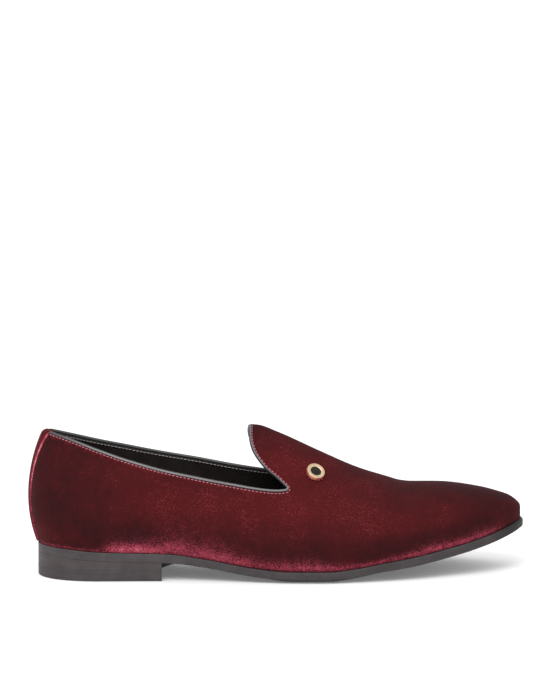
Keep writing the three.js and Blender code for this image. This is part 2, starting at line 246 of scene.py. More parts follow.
def cubic(t, a, b, c, d):
    return a * (1 - t) ** 3 + 3 * b * t * (1 - t) ** 2 + 3 * c * t * t * (1 - t) + d * t**3


# Where a rising function of arrays reaches zero
def bisect(low, high, rising):
    for _ in range(HALVINGS):
        middle = (low + high) / 2
        short = rising(middle) < 0
        low = np.where(short, middle, low)
        high = np.where(short, high, middle)
    return (low + high) / 2


def unit(vectors):
    return vectors / np.linalg.norm(vectors, axis=-1, keepdims=True)


# Stations lie close together at both ends, where the outline turns
def station(u):
    return LENGTH * (1 - np.cos(np.pi * u)) / 2


# Height of an arc that starts upright at 0 and is level from 1 on
def arc(t):
    return np.sqrt(1 - (1 - np.clip(t, 0, 1)) ** 2)


def sole_top(x):
    return SOLE.z(x) + SOLE.thick(x)


# Height of the feather edge, a gap over the sole
def feather_z(x):
    return sole_top(x) + GAP


# The heel's back leans in above and below its bulge
def heel_lean(x, z):
    fade = np.clip(1 - x / HEEL_FADE, 0, None) ** 2
    return fade * (z - HEEL_BULGE) ** 2 / (2 * HEEL_CURVE)


# Points of the last's skin: u runs from heel to toe, and v from the outer feather edge
# over the ridge at 0.5 to the inner feather edge
def skin(u, v):
    x = station(u)
    near = v < 0.5
    share = 1 - abs(2 * v - 1)
    narrowing = arc(x / HEEL_ROUND) * arc((LENGTH - x) / TOE_ROUND)
    foot = narrowing * np.where(near, LAST.outer(x), LAST.inner(x))
    wide = foot + narrowing * np.where(near, LAST.out_tuck(x), LAST.in_tuck(x))
    feather = feather_z(x + heel_lean(x, HEEL_SEAT))
    belly = feather + LAST.belly(x)
    nose = lerp(NOSE_BLUNT, 1, arc((LENGTH - x) / NOSE_ROUND))
    ridge = belly + (LAST.ridge(x) - belly) * nose
    turn = feather + UNDER_TURN * (belly - feather)
    shoulder = belly + LAST.flank(x) * (ridge - belly)
    low = share < BELLY_SHARE
    under = share / BELLY_SHARE
    over = (share - BELLY_SHARE) / (1 - BELLY_SHARE)
    reach_low = quadratic(under, foot, wide, wide)
    reach_high = cubic(over, wide, wide, LAST.crown(x) * wide, 0)
    z_low = quadratic(under, feather, turn, belly)
    z_high = cubic(over, belly, shoulder, ridge, ridge)
    reach = np.where(low, reach_low, reach_high)
    z = np.where(low, z_low, z_high)
    y = LAST.swing(x) + np.where(near, -reach, reach)
    return np.stack([x + heel_lean(x, z), y, z], axis=-1)


# The skin's outward normals
def skin_normal(u, v):
    u = np.clip(u, SMALL, 1 - SMALL)
    v = np.clip(v, SMALL, 1 - SMALL)
    along = skin(u + SMALL, v) - skin(u - SMALL, v)
    across = skin(u, v + SMALL) - skin(u, v - SMALL)
    return unit(np.cross(along, across))


# Points at a distance from the skin, along its outward normals
def offset_skin(u, v, out):
    normal = skin_normal(u, v)
    both = normal + skin_normal(u, 1 - v)
    both[..., 1] = 0
    at_end = (u == 0) | (u == 1)
    normal = np.where(at_end[..., None], unit(both), normal)
    return skin(u, v) + normal * np.asarray(out)[..., None]


# Parameters of the skin's points over its widest line that show at x and z from one side
def skin_at(x, z, side):
    heel, belly, full = np.zeros_like(x), np.full_like(x, BELLY_SHARE), np.ones_like(x)
    u = bisect(heel, full, lambda t: station(t) + heel_lean(station(t), z) - x)
    share = bisect(belly, full, lambda s: skin(u, s / 2)[..., 2] - z)
    return u, np.where(side < 0, share / 2, 1 - share / 2)


# Points of the feather edge, moved outwards in plan
def feather_edge(u, side, out):
    v = np.full_like(u, 0 if side < 0 else 1)
    middle = np.clip(u, SMALL, 1 - SMALL)
    along = skin(middle + SMALL, v) - skin(middle - SMALL, v)
    normal = np.stack([-along[..., 1] * side, along[..., 0] * side, 0 * u], axis=-1)
    normal[..., 1] = np.where((u == 0) | (u == 1), 0, normal[..., 1])
    return skin(u, v) + unit(normal) * np.asarray(out)[..., None]


# A smooth curve through points, which keeps close to its chords, as evenly spaced points
def curve_through(points, count):
    points = np.array(points, float)
    ends = [2 * points[0] - points[1], *points, 2 * points[-1] - points[-2]]
    t = np.linspace(0, 1, CURVE_STEPS, endpoint=False)[:, None]
    stretches = []
    for a, b, c, d in zip(ends, ends[1:], ends[2:], ends[3:]):
        chords = ((a, b), (b, c), (c, d))
        before, middle, after = (math.sqrt(np.linalg.norm(q - p)) for p, q in chords)
        leave = ((b - a) / before - (c - a) / (before + middle) + (c - b) / middle) * middle
        arrive = ((c - b) / middle - (d - b) / (middle + after) + (d - c) / after) * middle
        stretches.append(cubic(t, b, b + leave / 3, c - arrive / 3, c))
    return even(np.concatenate([*stretches, points[-1:]]), count)


# A line of points again, evenly spaced
def even(line, count):
    lengths = np.append(0, np.cumsum(np.linalg.norm(np.diff(line[:, :3], axis=0), axis=1)))
    places = np.linspace(0, lengths[-1], count)
    return np.stack([np.interp(places, lengths, column) for column in line.T], axis=-1)


TOPLINE = curve_through(TOPLINE_POINTS, TOPLINE_SAMPLES)
TOPLINE_ALONG = unit(np.gradient(TOPLINE, axis=0))


# Points at a depth in the wall that show, from one side, at a distance from the topline into the opening,
# and their parameters on the skin
def topline_places(inset, depth, side):
    x = TOPLINE[:, 0] - TOPLINE_ALONG[:, 1] * inset
    z = TOPLINE[:, 1] + TOPLINE_ALONG[:, 0] * inset
    try_x, try_z = x.copy(), z.copy()
    for _ in range(APPROACHES):
        u, v = skin_at(try_x, try_z, side)
        point = offset_skin(u, v, np.full_like(u, -depth))
        try_x += x - point[:, 0]
        try_z += z + TOPLINE_TILT.rise(point[:, 0]) * point[:, 1] - point[:, 2]
    return point, u, v


# A line round the opening, from one edge of the heel strip round the tongue to the other:
# its points, and the wall's outward normals there
def collar_line(inset, depth, count, clear=0):
    halves = []
    for side in (-1, 1):
        point, u, v = topline_places(inset, depth, side)
        off_ridge = abs(v - 0.5) > SMALL
        past_strip = (point[:, 0] > HEEL_QUARTER) | (abs(point[:, 1]) > STRIP_HALF_TOP + clear)
        line = np.hstack([point, skin_normal(u, v)])[off_ridge & past_strip]
        halves.append(line if side < 0 else line[::-1])
    line = even(np.concatenate(halves), count)
    return line[:, :3], unit(line[:, 3:])


# The part's frame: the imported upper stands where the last's skin does
def last_to_part():
    u, v = np.meshgrid(*(np.linspace(0, 1, samples) for samples in SKIN_SAMPLES))
    low = skin(u, v).reshape(-1, 3).min(axis=0)
    shift = np.array(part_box("upper")[0]) / MM - low
    return Matrix.Scale(MM, 4) @ Matrix.Translation(Vector(shift))


TO_PART = last_to_part()


# A colour from its sRGB hex value
def colour(hex_value):
    shares = [int(hex_value[i : i + 2], 16) / 255 for i in (0, 2, 4)]
    linear = [s / 12.92 if s <= 0.04045 else ((s + 0.055) / 1.055) ** 2.4 for s in shares]
    return (*linear, 1)


# A texture's scale from the size in millimetres that its pattern has on the object
def per(size):
    return 1 / (size * MM)


# A new node with its settings, and with values or links on its sockets
def add(tree, kind, inputs, **settings):
    node = tree.nodes.new("ShaderNode" + kind)
    for name, value in settings.items():
        setattr(node, name, value)
    for socket, value in inputs.items():
        if isinstance(value, bpy.types.NodeSocket):
            tree.links.new(value, node.inputs[socket])
        else:
            node.inputs[socket].default_value = value
    return node


# A material with its shader, ready for more nodes
def start_material(name, **shading):
    material = bpy.data.materials.new(name)
    material.use_nodes = True
    tree = material.node_tree
    shader = tree.nodes["Principled BSDF"]
    for socket, value in shading.items():
        shader.inputs[socket.replace("_", " ")].default_value = value
    return material, tree, shader


# Cotton velvet: a short cut pile. Brushed one way it is dark plum, the other way crimson with single tufts
# standing light and dark, and where it is pulled round the last to the sole a ragged pink rim is painted on
# as a highlight for the sheen it catches there. The tufts are finer than the picture shows, so they are
# drawn about a millimetre wide.
def velvet(name):
    material, tree, shader = start_material(
        name,
        Roughness=0.9,
        Specular_IOR_Level=0.08,
        Sheen_Weight=0.05,
        Sheen_Roughness=0.4,
        Sheen_Tint=colour("d8909a"),
    )
    place = add(tree, "TexCoord", {}).outputs["Object"]
    nap_sheen_and_shade = add(tree, "Attribute", {}, attribute_name="nap_sheen_and_shade").outputs["Fac"]
    sheen_band = add(tree, "Attribute", {}, attribute_name="sheen_band").outputs["Fac"]
    cloud = add(tree, "TexNoise", {"Vector": place, "Scale": per(16), "Detail": 3.0}).outputs["Fac"]
    stroke = add(tree, "TexNoise", {"Vector": place, "Scale": per(4), "Detail": 2.0}).outputs["Fac"]
    pile = add(tree, "TexNoise", {"Vector": place, "Scale": per(0.9), "Detail": 2.0}).outputs["Fac"]
    # The nap with its painted sheen and shade, broken up by clouds, strokes and single tufts
    brushed_and_sheen = add(tree, "Math", {0: cloud, 1: 0.7, 2: nap_sheen_and_shade}, operation="MULTIPLY_ADD").outputs[0]
    brushed_and_sheen = add(tree, "Math", {0: stroke, 1: 0.42, 2: brushed_and_sheen}, operation="MULTIPLY_ADD").outputs[0]
    brushed_and_sheen = add(tree, "Math", {0: pile, 1: 0.42, 2: brushed_and_sheen}, operation="MULTIPLY_ADD").outputs[0]
    lit = add(tree, "MapRange", {"Value": brushed_and_sheen, "From Min": 0.445, "From Max": 1.545}).outputs[0]
    body = add(
        tree, "Mix", {0: lit, 6: colour("2b0d10"), 7: colour("4a1113")}, data_type="RGBA"
    ).outputs[2]
    # Where it is brushed up, tufts stand light and dark in clumps
    ruffled = add(
        tree, "MapRange", {"Value": brushed_and_sheen, "From Min": 0.745, "From Max": 1.445, "To Max": 0.7}
    ).outputs[0]
    clumps = add(
        tree, "MapRange", {"Value": cloud, "From Min": 0.4, "From Max": 0.62, "To Min": 0.2}
    ).outputs[0]
    ruffled = add(tree, "Math", {0: ruffled, 1: clumps}, operation="MULTIPLY").outputs[0]
    light_tufts = add(tree, "MapRange", {"Value": pile, "From Min": 0.54, "From Max": 0.74}).outputs[0]
    light_tufts = add(tree, "Math", {0: light_tufts, 1: ruffled}, operation="MULTIPLY").outputs[0]
    body = add(tree, "Mix", {0: light_tufts, 6: body, 7: colour("773139")}, data_type="RGBA").outputs[2]
    dark_tufts = add(tree, "MapRange", {"Value": pile, "From Min": 0.46, "From Max": 0.26}).outputs[0]
    dark_tufts = add(tree, "Math", {0: dark_tufts, 1: ruffled}, operation="MULTIPLY").outputs[0]
    body = add(tree, "Mix", {0: dark_tufts, 6: body, 7: colour("2d0608")}, data_type="RGBA").outputs[2]
    # The rim's painted highlight, made ragged by strokes and tufts, is brightest in its middle
    tuft = add(
        tree,
        "MapRange",
        {"Value": pile, "From Min": 0.25, "From Max": 0.75, "To Min": -0.55, "To Max": 0.55},
    ).outputs[0]
    reach = add(tree, "Math", {0: sheen_band, 1: 2.5}, operation="MULTIPLY", use_clamp=True).outputs[0]
    patchy = add(
        tree,
        "MapRange",
        {"Value": stroke, "From Min": 0.3, "From Max": 0.7, "To Min": 0.7, "To Max": 1.3},
    ).outputs[0]
    ragged = add(tree, "Math", {0: sheen_band, 1: patchy}, operation="MULTIPLY").outputs[0]
    ragged = add(tree, "Math", {0: tuft, 1: reach, 2: ragged}, operation="MULTIPLY_ADD").outputs[0]
    glow = add(tree, "MapRange", {"Value": ragged, "From Min": 0.03, "From Max": 0.93}).outputs[0]
    painted_shine = add(tree, "MapRange", {"Value": ragged, "From Min": 0.95, "From Max": 2.0}).outputs[0]
    # The rim's painted highlight: pink, and pale pink where it is brightest
    coat = add(tree, "Mix", {0: glow, 6: body, 7: colour("94394a")}, data_type="RGBA").outputs[2]
    coat = add(tree, "Mix", {0: painted_shine, 6: coat, 7: colour("cd858c")}, data_type="RGBA").outputs[2]
    bump = add(tree, "Bump", {"Strength": 0.3, "Distance": 0.3 * MM, "Height": pile}).outputs[0]
    tree.links.new(coat, shader.inputs["Base Color"])
    tree.links.new(bump, shader.inputs["Normal"])
    return material


# Finished calf leather: fine pebbled grain under a waxed surface
def leather(name, dark, light, grain, roughness):
    material, tree, shader = start_material(name, Specular_IOR_Level=0.5)
    place = add(tree, "TexCoord", {}).outputs["Object"]
    cells = add(tree, "TexVoronoi", {"Vector": place, "Scale": per(grain)}).outputs["Distance"]
    cloud = add(tree, "TexNoise", {"Vector": place, "Scale": per(9), "Detail": 4.0}).outputs["Fac"]
    tone = add(tree, "Mix", {0: cloud, 6: colour(dark), 7: colour(light)}, data_type="RGBA").outputs[2]
    matt = add(
        tree,
        "MapRange",
        {
            "Value": cloud,
            "From Min": 0.3,
            "From Max": 0.7,
            "To Min": roughness - 0.07,
            "To Max": roughness + 0.07,
        },
    ).outputs[0]
    bump = add(tree, "Bump", {"Strength": 0.25, "Distance": 0.15 * MM, "Height": cells}).outputs[0]
    tree.links.new(tone, shader.inputs["Base Color"])
    tree.links.new(matt, shader.inputs["Roughness"])
    tree.links.new(bump, shader.inputs["Normal"])
    return material


# Glazed calf folded over a cord: near black where it turns in, with a painted highlight along its outer
# face
def glazed_calf(name, dark, highlight_tone):
    material, tree, shader = start_material(name, Specular_IOR_Level=0.5)
    place = add(tree, "TexCoord", {}).outputs["Object"]
    piping_highlight = add(tree, "Attribute", {}, attribute_name="piping_highlight").outputs["Fac"]
    grain = add(tree, "TexNoise", {"Vector": place, "Scale": per(1.6), "Detail": 3.0}).outputs["Fac"]
    uneven = add(tree, "MapRange", {"Value": grain, "To Min": 0.75, "To Max": 1.25}).outputs[0]
    wear_and_highlight = add(tree, "Math", {0: piping_highlight, 1: uneven}, operation="MULTIPLY", use_clamp=True).outputs[0]
    tone = add(tree, "Mix", {0: wear_and_highlight, 6: colour(dark), 7: colour(highlight_tone)}, data_type="RGBA").outputs[2]
    matt = add(tree, "MapRange", {"Value": grain, "To Min": 0.3, "To Max": 0.5}).outputs[0]
    bump = add(tree, "Bump", {"Strength": 0.2, "Distance": 0.1 * MM, "Height": grain}).outputs[0]
    tree.links.new(tone, shader.inputs["Base Color"])
    tree.links.new(matt, shader.inputs["Roughness"])
    tree.links.new(bump, shader.inputs["Normal"])
    return material


# Burnished sole leather: dyed, trimmed and rubbed with a hot iron, so that faint lines run along the edge
# and its upper corner is rubbed paler. It is painted near black on the tread and under the overhang at the
# ball as shade, and darker along the edge from the waist on and most at the toe.
def burnished(name, dark, light, worn, roughness):
    material, tree, shader = start_material(name, Specular_IOR_Level=0.25)
    place = add(tree, "TexCoord", {}).outputs["Object"]
    rise = add(tree, "Attribute", {}, attribute_name="rise").outputs["Fac"]
    sole_darkening = add(tree, "Attribute", {}, attribute_name="sole_darkening").outputs["Fac"]
    # The lines are long in plan, and a few lie over one another
    line_run = per(40)
    lines_high = 5
    flat = add(tree, "VectorMath", {0: place, 1: (line_run, line_run, 0)}, operation="MULTIPLY").outputs[0]
    lines_at = add(tree, "CombineXYZ", {"Z": rise}).outputs[0]
    lines_at = add(
        tree, "VectorMath", {0: lines_at, 1: (0, 0, lines_high), 2: flat}, operation="MULTIPLY_ADD"
    ).outputs[0]
    lines = add(tree, "TexNoise", {"Vector": lines_at, "Scale": 1.0, "Detail": 2.0}).outputs["Fac"]
    cloud = add(tree, "TexNoise", {"Vector": place, "Scale": per(7), "Detail": 3.0}).outputs["Fac"]
    fibre = add(tree, "TexNoise", {"Vector": place, "Scale": per(1.4), "Detail": 3.0}).outputs["Fac"]
    mixed = add(tree, "Math", {0: lines, 1: 0.5, 2: cloud}, operation="MULTIPLY_ADD").outputs[0]
    mixed = add(tree, "Math", {0: fibre, 1: 0.4, 2: mixed}, operation="MULTIPLY_ADD").outputs[0]
    tone = add(tree, "MapRange", {"Value": mixed, "From Min": 0.65, "From Max": 1.25}).outputs[0]
    body = add(tree, "Mix", {0: tone, 6: colour(dark), 7: colour(light)}, data_type="RGBA").outputs[2]
    corner = add(tree, "MapRange", {"Value": rise, "From Min": 0.88, "From Max": 1.0}).outputs[0]
    wear_and_highlight = add(tree, "Math", {0: corner, 1: fibre}, operation="MULTIPLY").outputs[0]
    edge = add(tree, "Mix", {0: wear_and_highlight, 6: body, 7: colour(worn)}, data_type="RGBA").outputs[2]
    # Painted shade on the tread and under the overhang, and darker along the edge towards the toe
    coat = add(tree, "Mix", {0: sole_darkening, 6: edge, 7: colour("171514")}, data_type="RGBA").outputs[2]
    matt = add(
        tree,
        "MapRange",
        {
            "Value": fibre,
            "From Min": 0.3,
            "From Max": 0.7,
            "To Min": roughness - 0.1,
            "To Max": roughness + 0.1,
        },
    ).outputs[0]
    bump = add(tree, "Bump", {"Strength": 0.2, "Distance": 0.15 * MM, "Height": mixed}).outputs[0]
    tree.links.new(coat, shader.inputs["Base Color"])
    tree.links.new(matt, shader.inputs["Roughness"])
    tree.links.new(bump, shader.inputs["Normal"])
    return material


# Spun polyester thread: two plies that glint along the stitch
def thread(name, dark, light):
    material, tree, shader = start_material(name, Roughness=0.55, Sheen_Weight=0.3)
    place = add(tree, "TexCoord", {}).outputs["Object"]
    twist = add(tree, "TexNoise", {"Vector": place, "Scale": per(0.8), "Detail": 1.0}).outputs["Fac"]
    tone = add(tree, "Mix", {0: twist, 6: colour(dark), 7: colour(light)}, data_type="RGBA").outputs[2]
    bump = add(tree, "Bump", {"Strength": 0.3, "Distance": 0.1 * MM, "Height": twist}).outputs[0]
    tree.links.new(tone, shader.inputs["Base Color"])
    tree.links.new(bump, shader.inputs["Normal"])
    return material


# Gold-plated brass, turned and polished: a satin mirror with faint wiping marks, and a painted reflection
# of the red velvet on the flank
def gilt_brass():
    material, tree, shader = start_material("gilt_brass", Metallic=1.0)
    place = add(tree, "TexCoord", {}).outputs["Object"]
    flank = add(tree, "Attribute", {}, attribute_name="flank").outputs["Fac"]
    wiped = add(tree, "TexNoise", {"Vector": place, "Scale": per(1.2), "Detail": 3.0}).outputs["Fac"]
    face = add(
        tree, "Mix", {0: wiped, 6: colour("bda687"), 7: colour("e0c9a9")}, data_type="RGBA"
    ).outputs[2]
    # The flank's redder tone is a painted reflection of the velvet
    tone = add(tree, "Mix", {0: flank, 6: face, 7: colour("ffac92")}, data_type="RGBA").outputs[2]
    gloss = add(tree, "MapRange", {"Value": wiped, "To Min": 0.3, "To Max": 0.5}).outputs[0]
    tree.links.new(tone, shader.inputs["Base Color"])
    tree.links.new(gloss, shader.inputs["Roughness"])
    return material


# Black onyx, cut as a low dome and polished: near black, faintly banded, with a glassy face
def onyx():
    material, tree, shader = start_material(
        "black_onyx", Roughness=0.2, IOR=1.54, Specular_IOR_Level=0.12
    )
    place = add(tree, "TexCoord", {}).outputs["Object"]
    banding = add(tree, "TexNoise", {"Vector": place, "Scale": per(3), "Detail": 2.0}).outputs["Fac"]
    tone = add(
        tree, "Mix", {0: banding, 6: colour("14100b"), 7: colour("2a2621")}, data_type="RGBA"
    ).outputs[2]
    tree.links.new(tone, shader.inputs["Base Color"])
    return material


# Matt white studio paper, lit a little from below
def studio_paper():
    material, tree, shader = start_material(
        "studio_paper",
        Roughness=0.9,
        Specular_IOR_Level=0.1,
        Emission_Color=colour("ffffff"),
        Emission_Strength=0.13,
    )
    place = add(tree, "TexCoord", {}).outputs["Object"]
    fibre = add(tree, "TexNoise", {"Vector": place, "Scale": per(5), "Detail": 2.0}).outputs["Fac"]
    tone = add(
        tree, "Mix", {0: fibre, 6: colour("f0f0f0"), 7: colour("f4f4f4")}, data_type="RGBA"
    ).outputs[2]
    tree.links.new(tone, shader.inputs["Base Color"])
    return material


VELVET = velvet("cotton_velvet")
LINING_LEATHER = leather("lining_leather", "1a1513", "251f1c", grain=0.9, roughness=0.5)
BINDING_LEATHER = leather("binding_leather", "2e2b2c", "434040", grain=0.6, roughness=0.4)
PIPING_LEATHER = glazed_calf("piping_calf", "1a1819", "6c6969")
SOLE_LEATHER = burnished("burnished_leather", "342f30", "464142", "555152", roughness=0.55)
LIFT_LEATHER = burnished("stacked_leather", "373031", "474041", "4a4344", roughness=0.55)
HEEL_RUBBER = burnished("heel_rubber", "343031", "433e3f", "474142", roughness=0.6)
CRIMSON_THREAD = thread("crimson_thread", "833045", "bd7c8d")
GREY_THREAD = thread("grey_thread", "9d9996", "c3bdba")
GILT = gilt_brass()
ONYX = onyx()


# A grid of faces laid on a surface: place takes arrays from 0 to 1 along and across, and gives points.
# Each point keeps its two numbers as layers.
def sheet(columns, rows, place):
    bm = bmesh.new()
    bmesh.ops.create_grid(bm, x_segments=columns, y_segments=rows, size=0.5)
    flat = np.round(np.array([vert.co for vert in bm.verts]) + 0.5, GRID_DECIMALS)
    points = place(flat[:, 0], flat[:, 1])
    along = bm.verts.layers.float.new("along")
    across = bm.verts.layers.float.new("across")
    for vert, at, point in zip(bm.verts, flat, points):
        vert[along], vert[across] = at[:2]
        vert.co = point
    bmesh.ops.remove_doubles(bm, verts=bm.verts, dist=MERGE_DISTANCE)
    bmesh.ops.recalc_face_normals(bm, faces=bm.faces)
    return bm


# A sheet closed by a thickness behind its face
def thickened(bm, thickness):
    bmesh.ops.solidify(bm, geom=bm.faces, thickness=thickness)
    bmesh.ops.recalc_face_normals(bm, faces=bm.faces)
    return bm


# A piece of the shoe from a mesh on the last
def piece(name, bm, material, replaced=(), sharp=40):
    bm.transform(TO_PART)
    mesh = bpy.data.meshes.new(name)
    bm.to_mesh(mesh)
    bm.free()
    mesh.shade_smooth()
    mesh.set_sharp_from_angle(angle=math.radians(sharp))
    mesh.materials.append(material)
    made = bpy.data.objects.new(name, mesh)
    bpy.context.scene.collection.objects.link(made)
    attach(made, BODY)
    if replaced:
        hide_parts(*replaced)
    return made


# The points of a piece, back on the last
def points_on_last(made):
    points = np.empty(len(made.data.vertices) * 3)
    made.data.vertices.foreach_get("co", points)
    back = np.array(TO_PART.inverted())
    return points.reshape(-1, 3) @ back[:3, :3].T + back[:3, 3]


# The values that a layer has at the points of a piece
def layer(made, name):
    values = np.empty(len(made.data.vertices), np.float32)
    made.data.attributes[name].data.foreach_get("value", values)
    return values


# A value for each point of a piece, for its material to read
def paint(made, name, values):
    attribute = made.data.attributes.new(name, "FLOAT", "POINT")
    attribute.data.foreach_set("value", np.asarray(values, np.float32))


# Everything over the velvet's edge at the topline, right across the shoe
def opening_cutter():
    bm = bmesh.new()
    edge = TOPLINE + VELVET_RISE * np.stack([-TOPLINE_ALONG[:, 1], TOPLINE_ALONG[:, 0]], axis=-1)
    every_other = edge[::2]
    outline = [*every_other, (edge[-1][0], CUT_TOP), (edge[0][0], CUT_TOP)]
    face = bm.faces.new([bm.verts.new((x, -CUT_WIDTH / 2, z)) for x, z in outline])
    extruded = bmesh.ops.extrude_face_region(bm, geom=[face])["geom"]
    far = [item for item in extruded if isinstance(item, bmesh.types.BMVert)]
    bmesh.ops.translate(bm, verts=far, vec=(0, CUT_WIDTH, 0))
    bmesh.ops.triangulate(bm, faces=bm.faces)
    bmesh.ops.recalc_face_normals(bm, faces=bm.faces)
    for vert in bm.verts:
        vert.co.z += TOPLINE_TILT.rise(vert.co.x) * vert.co.y
    return bm


# A mesh less what the cutter takes away
def cut(bm, cutter):
    objects = []
    for shape in (bm, cutter):
        mesh = bpy.data.meshes.new("cutting")
        shape.to_mesh(mesh)
        objects.append(bpy.data.objects.new("cutting", mesh))
        bpy.context.scene.collection.objects.link(objects[-1])
    modifier = objects[0].modifiers.new("opening", "BOOLEAN")
    modifier.operation = "DIFFERENCE"
    modifier.solver = "MANIFOLD"
    modifier.object = objects[1]
    depsgraph = bpy.context.evaluated_depsgraph_get()
    result = bpy.data.meshes.new_from_object(objects[0].evaluated_get(depsgraph))
    bm.clear()
    bm.from_mesh(result)
    for made in objects:
        mesh = made.data
        bpy.data.objects.remove(made)
        bpy.data.meshes.remove(mesh)
    bpy.data.meshes.remove(result)
    return bm


# How much closer together the rows of a wall lie near the sole, where 1 spaces them evenly
ROW_CROWDING = 1.4


# A wall over the last between two depths, open underneath and at the topline: its rows run over
# the outside, back over the inside and close on the first one
def wall(columns, rows, outer_depth, inner_depth, cutter):
    all_rows = 2 * rows + 2

    def place(u, w):
        row = np.round(w * all_rows).astype(int) % all_rows
        outside = row <= rows
        v = np.where(outside, row, all_rows - 1 - row) / rows
        share = (1 - abs(2 * v - 1)) ** ROW_CROWDING
        v = np.where(v < 0.5, share, 2 - share) / 2
        return offset_skin(u, v, np.where(outside, -outer_depth, -inner_depth))

    return cut(sheet(columns, all_rows, place), cutter)


# Where the pile is brushed, with painted sheen and shade making it lighter or darker: a row for each patch,
# with its middle along the last and over the feather edge, its reach both ways and its strength
NAP_PATCHES = [
    [92, 32, 42, 15, 0.55],
    [58, 48, 22, 12, 0.25],
    [150, 36, 36, 12, 0.45],
    [150, 62, 18, 18, 0.65],
    [188, 42, 40, 14, 0.4],
    [208, 24, 30, 9, 0.4],
    [246, 20, 30, 8, 0.3],
    [18, 30, 26, 40, -0.2],
    [58, 10, 34, 8, -0.3],
    [150, 12, 50, 9, -0.05],
    [225, 10, 40, 7, -0.05],
    [282, 22, 18, 14, -0.22],
    [176, 62, 18, 11, 0.5],
    [163, 8, 14, 5, -0.2],
    [207, 7, 14, 4, -0.2],
    [250, 9, 24, 5, -0.28],
    [6, 8, 20, 9, 0.4],
]
# The painted highlight along the rim over the feather edge: how far up it fades along the last, and how
# bright it is
RIM_SHEEN = table(
    ["x", "fade", "glow"],
    [
        [0, 0.7, 0.3],
        [40, 0.7, 0.28],
        [46, 2.2, 0.5],
        [56, 2.5, 0.9],
        [74, 2.7, 0.86],
        [84, 4.8, 0.62],
        [104, 4.6, 0.58],
        [116, 4, 0.66],
        [130, 2.8, 0.54],
        [148, 2.6, 0.44],
        [164, 2.7, 0.62],
        [182, 1.8, 0.56],
        [202, 1, 0.46],
        [222, 1.4, 0.46],
        [242, 2, 0.62],
        [262, 1.6, 0.6],
        [272, 1.9, 0.6],
        [281, 1.7, 0.36],
        [288, 1.2, 0.1],
        [295, 1, 0.06],
    ],
)
# It starts under the edge, is full a little over it, further up where it fades slowly, and then falls off
RIM_START = -1.8
RIM_FULL = 0.5
RIM_FULL_PER_FADE = 0.7
RIM_LONGEST_FADE = 2.4
RIM_SOFTNESS = 1
RIM_FALL = 2.2
# The pile stands up where the velvet is turned over the topline, with a painted sheen there, and near the
# ridge it is painted darker as shade
TURNED_WIDTH = 0.8
TURNED_SHEEN = 1.1
RIDGE_SHADE = -0.3
RIDGE_FROM = 0.8
RIDGE_WAY = 0.2


# The velvet's nap with its painted sheen and shade, and its rim's painted highlight
def paint_nap_sheen(made):
    x, y, z = points_on_last(made).T
    height = z - feather_z(x)
    nap_sheen_and_shade = np.zeros_like(x)
    for middle, level, reach, spread, strength in NAP_PATCHES:
        nap_sheen_and_shade += strength * patch(x, middle, reach) * patch(height, level, spread)
    top = LAST.ridge(x) - feather_z(x)
    nap_sheen_and_shade += RIDGE_SHADE * ramp(height / top, RIDGE_FROM, RIDGE_WAY)
    throat = TOPLINE[:, 1].argmin()
    edge = np.interp(x, *TOPLINE[:throat].T) + TOPLINE_TILT.rise(x) * y
    turned_over = (x < TOPLINE[throat, 0]) & (abs(z - edge) < TURNED_WIDTH)
    paint(made, "nap_sheen_and_shade", np.where(turned_over, TURNED_SHEEN, nap_sheen_and_shade))
    fade = RIM_SHEEN.fade(x)
    full = RIM_FULL + RIM_FULL_PER_FADE * np.minimum(fade, RIM_LONGEST_FADE)
    rising = ramp(height, RIM_START, full + RIM_SOFTNESS)
    falling = 1 + (np.maximum(height - full, 0) / fade) ** RIM_FALL
    paint(made, "sheen_band", RIM_SHEEN.glow(x) * rising / falling)


# The wall is velvet outside and lining inside: how deep each lies, and its columns and rows
VELVET_THICK = 1.1
VELVET_GRID = (230, 120)
LINING_DEPTH = 1.15
LINING_GRID = (150, 90)


def velvet_upper(cutter):
    bm = wall(*VELVET_GRID, 0, VELVET_THICK, cutter)
    made = piece("velvet_upper", bm, VELVET, ["upper"])
    paint_nap_sheen(made)


def lining(cutter):
    bm = wall(*LINING_GRID, LINING_DEPTH, WALL, cutter)
    piece("lining", bm, LINING_LEATHER)


# A tube along a line. Its section starts inside the wall and turns outwards, up and over to the opening.
def tube(line, normals, radius, sides):
    along = unit(np.gradient(line, axis=0))
    up = unit(np.cross(normals, along))
    out = unit(np.cross(along, up))

    def place(u, v):
        i = np.round(u * (len(line) - 1)).astype(int)
        turn = 2 * np.pi * v
        return line[i] + radius * (np.sin(turn)[:, None] * out[i] - np.cos(turn)[:, None] * up[i])

    bm = sheet(len(line) - 1, sides, place)
    bmesh.ops.holes_fill(bm, edges=[edge for edge in bm.edges if edge.is_boundary], sides=sides)
    bmesh.ops.recalc_face_normals(bm, faces=bm.faces)
    return bm


# The piping round the opening, whose ends lie under the heel strip
PIPING_RADIUS = 1.05
PIPING_INSET = 0.95
PIPING_STEPS = 420
PIPING_SIDES = 20
PIPING_UNDER_STRIP = 2
# It has a painted highlight along its outer face and a faint painted sheen along the inner one:
# the middle of each streak as a share of the turn round its section, half its width and its softness
PIPING_HIGHLIGHT = (0.23, 0.05, 0.06)
PIPING_INNER_SHEEN = (0.62, 0.06, 0.08)
INNER_SHEEN_STRENGTH = 0.25
# Near the heel and at the tip of the tongue the painted highlight is fainter: how much, and where a change
# starts and over what way, as shares of its length from the nearer end
HIGHLIGHT_AT_HEEL = 0.15
HIGHLIGHT_FROM_HEEL = (-0.03, 0.14)
HIGHLIGHT_AT_TONGUE = 0.7
HIGHLIGHT_TO_TONGUE = (0.45, 0.04)


